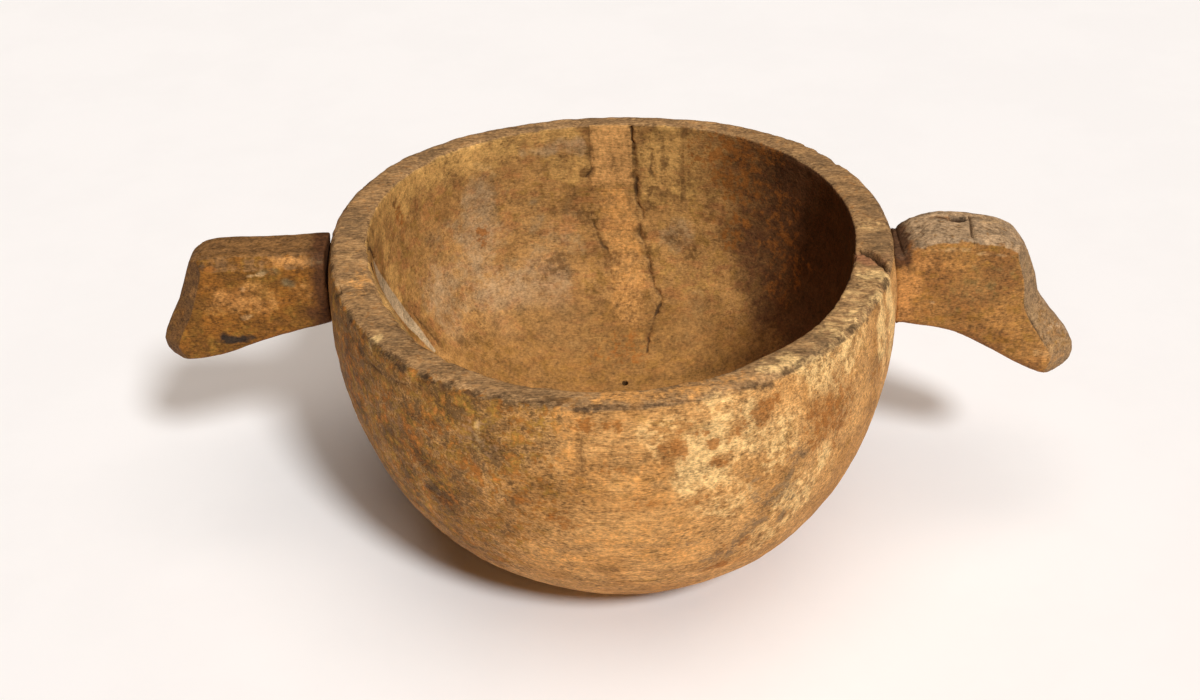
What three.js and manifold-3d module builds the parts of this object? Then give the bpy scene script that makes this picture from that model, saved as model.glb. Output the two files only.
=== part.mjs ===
// Two-handled wooden milking cup: a hand-hollowed bowl with a lug handle let into each end of the wall.
// Each handle has a tenon that passes through the wall and is spread from inside by a wedge.
// Millimetres. +Z is up, +X runs towards the right handle, and the origin is the centre of the foot.
import * as THREE from "three";
import { mergeVertices } from "three/addons/utils/BufferGeometryUtils.js";
import Module from "manifold-3d";

const wasm = await Module();
wasm.setup();

// Bowl, outside
const CUP_HEIGHT = 86;
const BELLY_RADIUS = 77.3; // the widest place, a little below the rim
const BELLY_HEIGHT = 68.6;
const FOOT_RADIUS = 34; // the flat that the cup stands on
const BELLY_FULLNESS = 2.1; // 2 is an ellipse, more is fuller
const RIM_OUTER_EDGE = 2.4; // worn round
const LEAN_X = -1.3; // the rim's centre from the foot's centre
const LEAN_Y = 3.5;

// The outline is hand-hewn, so it swells and shrinks round the axis. Sizes are shares of the radius.
const OUTLINE_WAVES = [
  { lobes: 2, size: 0.0144, turn: -45 },
  { lobes: 3, size: 0.032, turn: 26.5 },
  { lobes: 4, size: 0.0154, turn: 37.7 },
];

// The rim isn't quite level. Sizes are millimetres up and down.
const RIM_WAVES = [
  { lobes: 2, size: 1.06, turn: 92 },
  { lobes: 3, size: 1, turn: 66.6 },
];

// Bowl, inside
const WALL_AT_HANDLES = 10.2;
const WALL_AT_SIDES = 6.2;
const FLOOR_THICKNESS = 9;
const HOLLOW_STRAIGHT = 8; // upright stretch of the hollow below the rim
const HOLLOW_FULLNESS = 2.6;
const RIM_INNER_EDGE = 1;

// By the left handle the wall was left thick, and a knife cut pares it back at the rim. Seen from above
// the cut is a lens.
const PARE_FROM = 181;
const PARE_TO = 236;
const PARE_WIDTH = 3.4; // across the rim, at the middle of the cut
const PARE_DEPTH = 4.5; // down the wall

// Joint between a handle and the wall
const FIT = 0.3; // gap round each piece where it is let in
const TENON_WIDTH = 8;
const TENON_HEIGHT = 10;
const TENON_SPREAD = 1.4; // how much wider the wedge makes the tenon at its inner end
const TENON_BELOW_RIM = 13.5; // the tenon's centre line
const WEDGE_THICK = 2.2;
const WEDGE_THIN = 0.8;
const WEDGE_SHORT_OF_SHOULDER = 2.5; // from the thin end to the wall's outer face
const KERF_PAST_WEDGE = 1;
const WEDGE_SHORTER = 0.6; // the wedge is this much less high than the tenon

// Handles, seen from the front. Each outline is a smooth line through the points of top, end and under.
// A point is a share of the length out from the wall, and a share of the drop from the rim to the toe.
const LEFT = {
  turn: 180,
  offsetY: 2.5,
  length: 46.4,
  toeDrop: 31.4,
  thickness: 15,
  edge: 2.4,
  endFacet: { depth: 4.5, width: 4, widening: 1 }, // flats pared along the far end, wider towards the toe
  topFacet: { depth: 2.8, width: 3.6, side: 1 }, // and along the top, on the handle's +Y side
  top: [[0, 0], [0.35, 0.005], [0.66, 0.012]],
  end: [[0.77, 0.075], [0.825, 0.3], [0.885, 0.5], [0.955, 0.68], [0.995, 0.83], [0.98, 0.94]],
  under: [[0.92, 0.995], [0.76, 1], [0.645, 0.965], [0.49, 0.875], [0.27, 0.77], [0, 0.665]],
  seamGap: 0.9, // the shoulder stands off the wall at the top
  seamDepth: 10,
};
const RIGHT = {
  turn: 0,
  offsetY: -0.8,
  length: 49.3,
  toeDrop: 42.4,
  thickness: 17,
  edge: 2.6,
  endFacet: { depth: 6, width: 2.5, widening: 5.8 },
  top: [[0, 0.068], [0.067, 0.005], [0.155, -0.038], [0.26, -0.045], [0.436, -0.024], [0.58, 0.022]],
  end: [[0.685, 0.125], [0.74, 0.28], [0.783, 0.467], [0.909, 0.684], [0.996, 0.844], [0.988, 0.948]],
  under: [[0.92, 0.996], [0.832, 0.998], [0.74, 0.95], [0.52, 0.792], [0.312, 0.658], [0.02, 0.573]],
};
const ROOT_INSIDE = 6; // how far a handle's blank runs into the wall before its shoulder is cut
const FACET_MARGIN = 12; // how far the plates that pare a handle run past it

// Fineness of the curved surfaces
const AROUND = 72;
const RINGS_OUTSIDE = 18;
const RINGS_INSIDE = 16;
const EDGE_STEPS = 4;
const OUTLINE_STEPS = 3; // between two points of a handle's outline
const HANDLE_EDGE_STEPS = 3;

// Turns a closed geometry into a solid that can be cut.
function solidOf(geometry) {
  const bare = geometry.clone();
  bare.deleteAttribute("normal");
  bare.deleteAttribute("uv");
  const merged = mergeVertices(bare, 1e-4);
  const corners = merged.index.array;
  const triangles = [];
  for (let i = 0; i < corners.length; i += 3) {
    const [a, b, c] = corners.slice(i, i + 3);
    if (a !== b && b !== c && c !== a) triangles.push(a, b, c);
  }
  return new wasm.Manifold(
    new wasm.Mesh({
      numProp: 3,
      vertProperties: merged.attributes.position.array,
      triVerts: new Uint32Array(triangles),
    }),
  );
}

function geometryOf(solid) {
  const mesh = solid.getMesh();
  const geometry = new THREE.BufferGeometry();
  geometry.setAttribute("position", new THREE.BufferAttribute(mesh.vertProperties, 3));
  geometry.setIndex(new THREE.BufferAttribute(mesh.triVerts, 1));
  geometry.computeVertexNormals();
  return geometry;
}

// Moves each point of a geometry to where move(point) puts it.
function reshape(geometry, move) {
  const position = geometry.attributes.position;
  const point = new THREE.Vector3();
  for (let i = 0; i < position.count; i++) {
    move(point.fromBufferAttribute(position, i));
    position.setXYZ(i, point.x, point.y, point.z);
  }
  return geometry;
}

const { degToRad, clamp } = THREE.MathUtils;

function sumOfWaves(waves, angle) {
  return waves.reduce((sum, w) => sum + w.size * Math.cos(w.lobes * (angle - degToRad(w.turn))), 0);
}

const swellAt = (angle) => 1 + sumOfWaves(OUTLINE_WAVES, angle);

// A point on a quarter of a superellipse. Turn 0 is out on the radius, and a quarter turn is up on the height.
function superellipse(radius, height, fullness, turn) {
  const r = radius * Math.cos(turn) ** (2 / fullness);
  const h = height * Math.sin(turn) ** (2 / fullness);
  return [r, h];
}

// Half the height of the whole superellipse that has the foot's radius at the ground.
const bellyReach =
  BELLY_HEIGHT / (1 - (FOOT_RADIUS / BELLY_RADIUS) ** BELLY_FULLNESS) ** (1 / BELLY_FULLNESS);

function outerRadius(z) {
  const share = Math.abs(BELLY_HEIGHT - z) / bellyReach;
  return BELLY_RADIUS * (1 - share ** BELLY_FULLNESS) ** (1 / BELLY_FULLNESS);
}

// The turn on the superellipse at a height above or below the belly.
function turnAt(z) {
  const share = Math.abs(BELLY_HEIGHT - z) / bellyReach;
  return Math.asin(share ** (BELLY_FULLNESS / 2));
}

function revolve(profile) {
  const points = profile.map(([r, z]) => new THREE.Vector2(r, z));
  return new THREE.LatheGeometry(points, AROUND).rotateX(Math.PI / 2);
}

// Sets the rim's height by its waves, and its centre off the foot's centre.
function settle(point) {
  const share = clamp(point.z / CUP_HEIGHT, 0, 1);
  const offAxis = clamp(Math.hypot(point.x, point.y) / FOOT_RADIUS, 0, 1);
  point.z += sumOfWaves(RIM_WAVES, Math.atan2(point.y, point.x)) * offAxis * share ** 3;
  point.x += LEAN_X * share;
  point.y += LEAN_Y * share;
}

// The bowl before it is hollowed. grow moves its surface out.
function bowlBlank(grow = 0) {
  const profile = [[0, -grow]];
  const footTurn = turnAt(0);
  for (let i = 0; i <= RINGS_OUTSIDE; i++) {
    const turn = footTurn * (1 - i / RINGS_OUTSIDE);
    const [r, h] = superellipse(BELLY_RADIUS, bellyReach, BELLY_FULLNESS, turn);
    profile.push([r + grow, i === 0 ? -grow : BELLY_HEIGHT - h]);
  }
  const edgeZ = CUP_HEIGHT - RIM_OUTER_EDGE;
  const edgeTurn = turnAt(edgeZ);
  for (let i = 1; i <= EDGE_STEPS; i++) {
    const [r, h] = superellipse(BELLY_RADIUS, bellyReach, BELLY_FULLNESS, (edgeTurn * i) / EDGE_STEPS);
    profile.push([r + grow, BELLY_HEIGHT + h]);
  }
  const edgeRadius = outerRadius(edgeZ);
  for (let i = 1; i <= EDGE_STEPS; i++) {
    const turn = (Math.PI / 2) * (i / EDGE_STEPS);
    const r = edgeRadius - RIM_OUTER_EDGE * (1 - Math.cos(turn));
    profile.push([r + grow, edgeZ + (RIM_OUTER_EDGE + grow) * Math.sin(turn)]);
  }
  profile.push([0, CUP_HEIGHT + grow]);
  return reshape(revolve(profile), (point) => {
    const swell = swellAt(Math.atan2(point.y, point.x));
    point.x *= swell;
    point.y *= swell;
    settle(point);
  });
}

const rimRadius = outerRadius(CUP_HEIGHT);
const hollowRadius = rimRadius - WALL_AT_HANDLES;

// The hollow's radius at the rim follows the outline, less the wall.
function hollowAt(angle) {
  const middle = (WALL_AT_HANDLES + WALL_AT_SIDES) / 2;
  const wall = middle + ((WALL_AT_HANDLES - WALL_AT_SIDES) / 2) * Math.cos(2 * angle);
  return rimRadius * swellAt(angle) - wall;
}

// How far the paring cut goes at an angle round the rim, from 0 to 1.
function pareShare(angle) {
  const round = THREE.MathUtils.radToDeg(angle < 0 ? angle + 2 * Math.PI : angle);
  if (round <= PARE_FROM || round >= PARE_TO) return 0;
  return Math.sin((Math.PI * (round - PARE_FROM)) / (PARE_TO - PARE_FROM));
}

// The hollow of the bowl, which runs on above the rim.
function hollow() {
  const top = CUP_HEIGHT - HOLLOW_STRAIGHT;
  const profile = [[0, FLOOR_THICKNESS]];
  for (let i = 1; i <= RINGS_INSIDE; i++) {
    const turn = (Math.PI / 2) * (1 - i / RINGS_INSIDE);
    const [r, h] = superellipse(hollowRadius, top - FLOOR_THICKNESS, HOLLOW_FULLNESS, turn);
    profile.push([r, top - h]);
  }
  profile.push([hollowRadius, CUP_HEIGHT - PARE_DEPTH]);
  for (let i = 0; i <= EDGE_STEPS; i++) {
    const turn = (Math.PI / 2) * (i / EDGE_STEPS);
    const out = RIM_INNER_EDGE * (1 - Math.cos(turn));
    profile.push([hollowRadius + out, CUP_HEIGHT - RIM_INNER_EDGE * (1 - Math.sin(turn))]);
  }
  profile.push([hollowRadius + RIM_INNER_EDGE, CUP_HEIGHT + 2 * RIM_OUTER_EDGE]);
  profile.push([0, CUP_HEIGHT + 2 * RIM_OUTER_EDGE]);
  return reshape(revolve(profile), (point) => {
    const angle = Math.atan2(point.y, point.x);
    const radius = Math.hypot(point.x, point.y);
    const uncut = clamp((CUP_HEIGHT - point.z) / PARE_DEPTH, 0, 1);
    const offAxis = clamp((2 * radius) / hollowRadius - 1, 0, 1);
    const thicker = PARE_WIDTH * uncut * offAxis * pareShare(angle);
    const share = radius > 0 ? hollowAt(angle) / hollowRadius - thicker / radius : 1;
    point.x *= share;
    point.y *= share;
    settle(point);
  });
}

// The shape of a smooth line through points, closed by straight lines.
function shapeThrough(points, before, after) {
  const through = points.map(([x, y]) => new THREE.Vector3(x, y, 0));
  const line = new THREE.CatmullRomCurve3(through, false, "centripetal");
  const shape = new THREE.Shape();
  shape.moveTo(...before[0]);
  before.slice(1).forEach((p) => shape.lineTo(...p));
  line.getSpacedPoints(OUTLINE_STEPS * (points.length - 1)).forEach((p) => shape.lineTo(p.x, p.y));
  after.forEach((p) => shape.lineTo(...p));
  shape.closePath();
  return shape;
}

// A plate that stands on edge along X. Its edges are pared to a depth into the thickness and a width across
// the outline, round in several steps or flat in one.
function edgedPlate(shape, thickness, depth, width, steps) {
  const plate = new THREE.ExtrudeGeometry(shape, {
    depth: thickness - 2 * depth,
    bevelThickness: depth,
    bevelSize: width,
    bevelOffset: -width,
    bevelSegments: steps,
  });
  return plate.translate(0, 0, depth - thickness / 2).rotateX(Math.PI / 2);
}

// A handle before its shoulder is cut. The origin of its frame is on the cup's axis at the rim's height,
// and +X runs out along the handle.
function handleBlank(h, wall) {
  const place = ([out, down]) => [wall + out * h.length, -down * h.toeDrop];
  const top = h.top.map(place);
  const end = h.end.map(place);
  const under = h.under.map(place);
  const inside = wall - ROOT_INSIDE;
  const outline = shapeThrough(
    [...top, ...end, ...under],
    [[inside, top[0][1]]],
    [[inside, under.at(-1)[1]]],
  );
  const blank = solidOf(edgedPlate(outline, h.thickness, h.edge, h.edge, HANDLE_EDGE_STEPS));
  const [pastRoot, pastToe] = [inside - FACET_MARGIN, -h.toeDrop - FACET_MARGIN];
  const pastEnd = wall + h.length + FACET_MARGIN;

  // A larger plate with the same far end cuts the flats along that end.
  const endShape = shapeThrough(
    end,
    [[pastRoot, FACET_MARGIN], [top.at(-1)[0], FACET_MARGIN]],
    [[under[0][0] - FACET_MARGIN / 2, pastToe], [pastRoot, pastToe]],
  );
  const { depth, width, widening } = h.endFacet;
  const endPlate = reshape(edgedPlate(endShape, h.thickness, depth, width, 1), (point) => {
    const onFace = Math.abs(point.y) > h.thickness / 2 - depth / 2;
    if (onFace) point.x -= widening * clamp(-point.z / h.toeDrop, 0, 1);
  });
  const pared = blank.intersect(solidOf(endPlate));
  if (!h.topFacet) return pared;

  // Another with the same top cuts the flat along one side of it. Its far side is clear of the handle.
  const topShape = shapeThrough(
    top,
    [[pastRoot, pastToe], [pastRoot, top[0][1]]],
    [[pastEnd, top.at(-1)[1]], [pastEnd, pastToe]],
  );
  const across = h.thickness + 2 * FACET_MARGIN;
  const topPlate = edgedPlate(topShape, across, h.topFacet.depth, h.topFacet.width, 1);
  return pared.intersect(solidOf(topPlate.translate(0, -h.topFacet.side * FACET_MARGIN, 0)));
}

// A bar along X whose width changes evenly from one end to the other.
function taperedBar(fromX, toX, fromWidth, toWidth, height) {
  const plan = new THREE.Shape();
  plan.moveTo(fromX, -fromWidth / 2);
  plan.lineTo(toX, -toWidth / 2);
  plan.lineTo(toX, toWidth / 2);
  plan.lineTo(fromX, fromWidth / 2);
  plan.closePath();
  const bar = new THREE.ExtrudeGeometry(plan, { depth: height, bevelEnabled: false });
  return bar.translate(0, 0, -TENON_BELOW_RIM - height / 2);
}

// A slot between the left handle's shoulder and the wall, open at the top and closed at the bottom.
function seam(h, wallAtBottom, wallAtTop) {
  const outline = new THREE.Shape();
  outline.moveTo(wallAtBottom - 2 * ROOT_INSIDE, -h.seamDepth);
  outline.lineTo(wallAtBottom + FIT, -h.seamDepth);
  outline.lineTo(wallAtTop + h.seamGap, 0);
  outline.lineTo(wallAtTop + h.seamGap, 3);
  outline.lineTo(wallAtTop - 2 * ROOT_INSIDE, 3);
  outline.closePath();
  const slot = new THREE.ExtrudeGeometry(outline, { depth: 2 * h.thickness, bevelEnabled: false });
  return slot.translate(0, 0, -h.thickness).rotateX(Math.PI / 2);
}

function makeHandle(name, h) {
  const angle = degToRad(h.turn);
  const wallAt = (z) => outerRadius(z) * swellAt(angle);
  const wall = wallAt(CUP_HEIGHT - TENON_BELOW_RIM);
  const inner = hollowAt(angle);
  const group = new THREE.Group();
  group.position.set(LEAN_X, LEAN_Y + h.offsetY, CUP_HEIGHT);
  group.rotation.z = angle;
  group.updateMatrix();
  const toHandle = group.matrix.clone().invert();
  const wallCut = solidOf(bowlBlank(FIT).applyMatrix4(toHandle));
  const hollowCut = solidOf(hollow().applyMatrix4(toHandle));

  const pastInside = inner - 3; // the tenon and the wedge are trimmed to the hollow from here
  const spread = TENON_SPREAD / (wall - inner);
  const tenonBar = (gap, fromX, toX) => {
    const widthAt = (x) => TENON_WIDTH + spread * (wall - x) + 2 * gap;
    return taperedBar(fromX, toX, widthAt(fromX), widthAt(toX), TENON_HEIGHT + 2 * gap);
  };
  const wedgeTip = wall - WEDGE_SHORT_OF_SHOULDER;
  const slope = (WEDGE_THICK - WEDGE_THIN) / (wedgeTip - inner);
  const wedgeBar = (gap, tip, height) => {
    const thicknessAt = (x) => WEDGE_THIN + slope * (wedgeTip - x) + 2 * gap;
    return taperedBar(pastInside, tip, thicknessAt(pastInside), thicknessAt(tip), height);
  };

  let handle = handleBlank(h, wall).subtract(wallCut);
  if (h.seamGap) {
    const slot = seam(h, wallAt(CUP_HEIGHT - h.seamDepth), wallAt(CUP_HEIGHT));
    handle = handle.subtract(solidOf(slot));
  }
  const tenon = solidOf(tenonBar(0, pastInside, wall + ROOT_INSIDE)).subtract(hollowCut);
  const kerf = solidOf(wedgeBar(FIT, wedgeTip + KERF_PAST_WEDGE, TENON_HEIGHT + 2));
  handle = handle.add(tenon).subtract(kerf);
  const wedge = solidOf(wedgeBar(0, wedgeTip, TENON_HEIGHT - WEDGE_SHORTER)).subtract(hollowCut);

  const handleMesh = new THREE.Mesh(geometryOf(handle), handleWood);
  handleMesh.name = `${name}_handle`;
  const wedgeMesh = new THREE.Mesh(geometryOf(wedge), wedgeWood);
  wedgeMesh.name = `${name}_handle_wedge`;
  group.add(handleMesh, wedgeMesh);

  const mortise = tenonBar(FIT, pastInside - 3, wall + ROOT_INSIDE).applyMatrix4(group.matrix);
  return { group, mortise };
}

const bowlWood = new THREE.MeshStandardMaterial({ color: 0xa87844, roughness: 0.75, metalness: 0 });
const handleWood = new THREE.MeshStandardMaterial({ color: 0x9a6a38, roughness: 0.7, metalness: 0 });
const wedgeWood = new THREE.MeshStandardMaterial({ color: 0x8a5c30, roughness: 0.8, metalness: 0 });

const left = makeHandle("left", LEFT);
const right = makeHandle("right", RIGHT);

let bowl = solidOf(bowlBlank()).subtract(solidOf(hollow()));
for (const { mortise } of [left, right]) bowl = bowl.subtract(solidOf(mortise));
const bowlMesh = new THREE.Mesh(geometryOf(bowl), bowlWood);
bowlMesh.name = "bowl";

const cup = new THREE.Group();
cup.add(bowlMesh, left.group, right.group);

export default cup;
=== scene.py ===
"""An old wooden milking cup, carved and weathered, on a pale floor. It is worked over the fixed frame."""

import math
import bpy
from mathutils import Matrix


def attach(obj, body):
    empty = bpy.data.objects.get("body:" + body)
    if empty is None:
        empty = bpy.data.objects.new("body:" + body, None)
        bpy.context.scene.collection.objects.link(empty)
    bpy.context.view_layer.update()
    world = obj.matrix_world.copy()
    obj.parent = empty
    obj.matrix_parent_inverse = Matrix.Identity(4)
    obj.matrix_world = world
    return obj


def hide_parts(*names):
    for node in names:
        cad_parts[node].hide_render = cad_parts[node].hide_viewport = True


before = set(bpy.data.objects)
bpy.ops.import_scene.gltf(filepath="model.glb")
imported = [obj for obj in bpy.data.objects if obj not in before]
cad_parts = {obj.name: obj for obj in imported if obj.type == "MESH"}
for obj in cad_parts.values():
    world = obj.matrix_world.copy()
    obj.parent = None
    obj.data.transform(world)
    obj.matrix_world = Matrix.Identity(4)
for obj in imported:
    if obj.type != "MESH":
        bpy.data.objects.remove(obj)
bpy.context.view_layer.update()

from types import SimpleNamespace

import bmesh
import bpy
import numpy as np
from mathutils import Matrix, Vector
from mathutils.bvhtree import BVHTree

MM = 0.001  # m

# The camera: where it stands and how it is turned, fitted to the rim's ellipses
FRAME_WIDTH, FRAME_HEIGHT = 1200, 700
AIM = np.array([-1.3, 3.5, 45.0])  # mm
CAMERA_DISTANCE = 480.0  # mm
CAMERA_ELEVATION = math.radians(33.918)
CAMERA_ROLL = math.radians(-1.844)
FOCAL_PIXELS = 1731.44
CENTRE_OFF_X, CENTRE_OFF_Y = 13.589, 17.795  # pixels from the frame's centre
SENSOR = 36.0  # mm
CLIP_NEAR, CLIP_FAR = 0.01, 20  # m

# Bowl, in mm
RIM_CENTRE_LEAN = np.array([-1.3, 3.5])  # of the mouth's centre from the foot's, at RIM_HEIGHT
RIM_HEIGHT = 86.0
HANDLE_SIDES = ((-1, 6.0), (1, 2.7))  # side of X, and the middle of the joint in Y
JOINT_HALF_WIDTH = 7.5
JOINT_LOW, JOINT_HIGH = 63.0, 81.5
JOINT_FADE, JOINT_FADE_BELOW = 1.5, 2  # how far from a mortise the old surface comes in again
JOINT_FROM_AXIS = 40  # the mortises lie further out than this

# How fine the meshes are
BOWL_VOXEL = 0.6 * MM
HANDLE_VOXEL = 0.42 * MM
WEDGE_VOXEL = 0.25 * MM
SMOOTH_TURNS, WEDGE_SMOOTH_TURNS = 8, 4
STEP_BACK = 1.02  # a smoothing step back is this much longer, so that a piece doesn't shrink
WELD = 1e-7  # m
LINE_REACH = 6  # mm: a place further than this outside a line's box counts as far from it
FAR = 1e9  # mm
PATCH_THROUGH = 12  # mm that a patch reaches through the surface


# Small tools


def smooth(low, high, x):
    t = np.clip((x - low) / (high - low), 0, 1)
    return t * t * (3 - 2 * t)


def hashed(cells, seed):
    """A value from -1 to 1 for each whole-number cell. The large numbers scatter neighbouring cells."""
    h = cells[0] * 73856093 ^ cells[1] * 19349663 ^ cells[2] * 83492791 ^ seed * 2654435761
    h = (h ^ (h >> 13)) * 1274126177
    h = (h ^ (h >> 16)) & 0xFFFFFF
    return h / 0x7FFFFF - 1.0


def noise(places, seed):
    """Smooth noise from -1 to 1, with one bump to a unit."""
    spots = np.ascontiguousarray(places.T)
    floor = np.floor(spots)
    f = spots - floor
    f = f * f * f * (f * (f * 6 - 15) + 10)
    x, y, z = floor.astype(np.int64)
    ends = []
    for i in (0, 1):
        rows = []
        for j in (0, 1):
            low, high = hashed((x + i, y + j, z), seed), hashed((x + i, y + j, z + 1), seed)
            rows.append(low + f[2] * (high - low))
        ends.append(rows[0] + f[1] * (rows[1] - rows[0]))
    return ends[0] + f[0] * (ends[1] - ends[0])


def layered(places, seed, octaves=3):
    """Noise with finer and weaker noise on it."""
    total, size = np.zeros(len(places)), 0.0
    for i in range(octaves):
        total += noise(places * 2.03**i + 17.3 * i, seed + i) * 0.5**i
        size += 0.5**i
    return total / size


# The camera, and where a pixel of its picture lies on the object


def camera_axes():
    s, c = math.sin(CAMERA_ELEVATION), math.cos(CAMERA_ELEVATION)
    ahead = np.array([0, c, -s])
    level, rise = np.array([1.0, 0, 0]), np.array([0, s, c])
    right = math.cos(CAMERA_ROLL) * level + math.sin(CAMERA_ROLL) * rise
    up = -math.sin(CAMERA_ROLL) * level + math.cos(CAMERA_ROLL) * rise
    return right, up, ahead


RIGHT, UP, AHEAD = camera_axes()
CAMERA_PLACE = AIM - CAMERA_DISTANCE * AHEAD


def make_camera():
    data = bpy.data.cameras.new("camera")
    data.sensor_fit = "HORIZONTAL"
    data.sensor_width = SENSOR
    data.lens = FOCAL_PIXELS * SENSOR / FRAME_WIDTH
    data.shift_x = -CENTRE_OFF_X / FRAME_WIDTH
    data.shift_y = CENTRE_OFF_Y / FRAME_WIDTH
    data.clip_start = CLIP_NEAR
    data.clip_end = CLIP_FAR
    camera = bpy.data.objects.new("camera", data)
    bpy.context.scene.collection.objects.link(camera)
    turn = Matrix(np.column_stack([RIGHT, UP, -AHEAD]).tolist()).to_4x4()
    camera.matrix_world = Matrix.Translation(Vector((CAMERA_PLACE * MM).tolist())) @ turn
    bpy.context.scene.camera = camera


def surface(*nodes):
    """A tree for asking where a line of sight meets the CAD nodes."""
    tool = bmesh.new()
    for node in nodes:
        tool.from_mesh(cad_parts[node].data)
    tree = BVHTree.FromBMesh(tool)
    tool.free()
    return tree


def seen_at(tree, pixel):
    """The place in mm, and the way out of the surface, where the camera sees a node at a pixel."""
    across = (pixel[0] - FRAME_WIDTH / 2 - CENTRE_OFF_X) / FOCAL_PIXELS
    down = (pixel[1] - FRAME_HEIGHT / 2 - CENTRE_OFF_Y) / FOCAL_PIXELS
    way = Vector((RIGHT * across - UP * down + AHEAD).tolist()).normalized()
    place, out, _, _ = tree.ray_cast(Vector((CAMERA_PLACE * MM).tolist()), way)
    if place is None:
        raise ValueError(f"no surface at pixel {pixel}")
    return np.array(place) / MM, np.array(out)


def seen_line(tree, pixels):
    """The places in mm that the camera sees at a row of pixels."""
    return np.array([seen_at(tree, pixel)[0] for pixel in pixels])


# Fine meshes


class Sheet:
    """A piece's vertices as arrays, in mm."""

    def __init__(self, piece):
        self.piece = piece
        self.read()

    def read(self):
        mesh = self.piece.data
        count = len(mesh.vertices)
        flat = np.empty(count * 3)
        mesh.vertices.foreach_get("co", flat)
        self.place = flat.reshape(-1, 3) / MM
        ways = np.empty(count * 3)
        mesh.vertices.foreach_get("normal", ways)
        self.out = ways.reshape(-1, 3)
        edges = np.empty(len(mesh.edges) * 2, np.int32)
        mesh.edges.foreach_get("vertices", edges)
        self.edges = edges.reshape(-1, 2)

    def write(self):
        mesh = self.piece.data
        mesh.vertices.foreach_set("co", (self.place * MM).ravel())
        mesh.update()

    def relax(self, turns, share=0.6):
        """Evens out the steps that the remesh leaves."""
        a, b = self.edges.T
        count = len(self.place)
        near = np.bincount(a, minlength=count) + np.bincount(b, minlength=count)
        for turn in range(turns):
            mean = np.stack(
                [
                    np.bincount(a, self.place[b, i], count) + np.bincount(b, self.place[a, i], count)
                    for i in range(3)
                ],
                1,
            ) / near[:, None]
            step = share if turn % 2 == 0 else -share * STEP_BACK
            self.place += step * (mean - self.place)

    def keep(self, name, values):
        """Stores a mask from 0 to 1, which the material reads."""
        layer = self.piece.data.attributes.new(name, "FLOAT", "POINT")
        layer.data.foreach_set("value", np.clip(values, 0, 1).astype(np.float32))

    def move(self, place, masks):
        """Writes new places, and stores the masks."""
        self.place = place
        self.write()
        for name, values in masks.items():
            self.keep(name, values)


def fine_copy(node, voxel):
    """A new piece with the node's form and an even, fine mesh."""
    name = node + "_wood"
    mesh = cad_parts[node].data.copy()
    mesh.materials.clear()
    tool = bmesh.new()
    tool.from_mesh(mesh)
    bmesh.ops.remove_doubles(tool, verts=tool.verts, dist=WELD)
    tool.to_mesh(mesh)
    tool.free()
    piece = bpy.data.objects.new(name, mesh)
    bpy.context.scene.collection.objects.link(piece)
    even = piece.modifiers.new("even", "REMESH")
    even.mode = "VOXEL"
    even.voxel_size = voxel
    even.use_smooth_shade = True
    made = piece.evaluated_get(bpy.context.evaluated_depsgraph_get())
    piece.data = bpy.data.meshes.new_from_object(made)
    piece.modifiers.clear()
    piece.data.name = name
    return piece


def fine_sheet(node, voxel, turns):
    """The arrays of a node's fine copy, with the steps of its remesh evened out."""
    sheet = Sheet(fine_copy(node, voxel))
    sheet.relax(turns)
    sheet.write()
    sheet.read()
    return sheet


def refine(piece, near):
    """Halves the mesh where near(places in mm) is true."""
    tool = bmesh.new()
    tool.from_mesh(piece.data)
    middles = np.array([f.calc_center_median()[:] for f in tool.faces]) / MM
    chosen = near(middles)
    edges = {e for face, yes in zip(tool.faces, chosen) if yes for e in face.edges}
    bmesh.ops.subdivide_edges(tool, edges=list(edges), cuts=1, use_grid_fill=True)
    tool.to_mesh(piece.data)
    tool.free()
    piece.data.shade_smooth()


def along_line(places, line):
    """How far places lie from a line of points, and how far along it, from 0 to 1."""
    best = np.full(len(places), FAR)
    at = np.zeros(len(places))
    lengths = [np.linalg.norm(b - a) for a, b in zip(line, line[1:])]
    total, before = sum(lengths), 0.0
    low, high = np.min(line, 0) - LINE_REACH, np.max(line, 0) + LINE_REACH
    held = np.flatnonzero(((places > low) & (places < high)).all(1))
    close = places[held]
    for a, b, length in zip(line, line[1:], lengths):
        share = np.clip((close - a) @ (b - a) / max(length**2, 1e-9), 0, 1)
        gap = np.linalg.norm(close - a - share[:, None] * (b - a), axis=1)
        nearer = gap < best[held]
        best[held[nearer]] = gap[nearer]
        at[held[nearer]] = (before + share[nearer] * length) / total
        before += length
    return best, at


def blot(sheet, centre, out, half_width, half_height, turn=0.0, ragged=0.35, seed=1):
    """A soft ragged patch, 1 in its middle and 0 outside, on the side of the wall that out points from."""
    upright = np.array([0, 0, 1.0]) if abs(out[2]) < 0.8 else np.array([0, 1.0, 0])
    across = np.cross(upright, out)
    across /= np.linalg.norm(across)
    rise = np.cross(out, across)
    c, s = math.cos(math.radians(turn)), math.sin(math.radians(turn))
    across, rise = c * across + s * rise, c * rise - s * across
    reach = 1.9 * max(half_width, half_height) + 1
    held = np.flatnonzero((np.abs(sheet.place - centre) < reach).all(1))
    place = sheet.place[held]
    gap = place - centre
    far = np.sqrt(
        (gap @ across / half_width) ** 2
        + (gap @ rise / half_height) ** 2
        + (gap @ out / PATCH_THROUGH) ** 2
    )
    far += ragged * 1.6 * noise(place / (0.45 * min(half_width, half_height) + 1.5), seed)
    patch = np.zeros(len(sheet.place))
    patch[held] = smooth(1.55, 0.25, far) * smooth(-0.2, 0.3, sheet.out[held] @ out)
    return patch


def lift(masks, name, values):
    """Raises one mask to values where they are higher."""
    masks[name] = np.maximum(masks[name], values)


def finish_piece(piece, node, material):
    """Gives a piece its material, puts it under the root body, and hides the node it stands for."""
    piece.data.materials.clear()
    piece.data.materials.append(material)
    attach(piece, "root")
    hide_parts(node)


# The bowl

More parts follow.
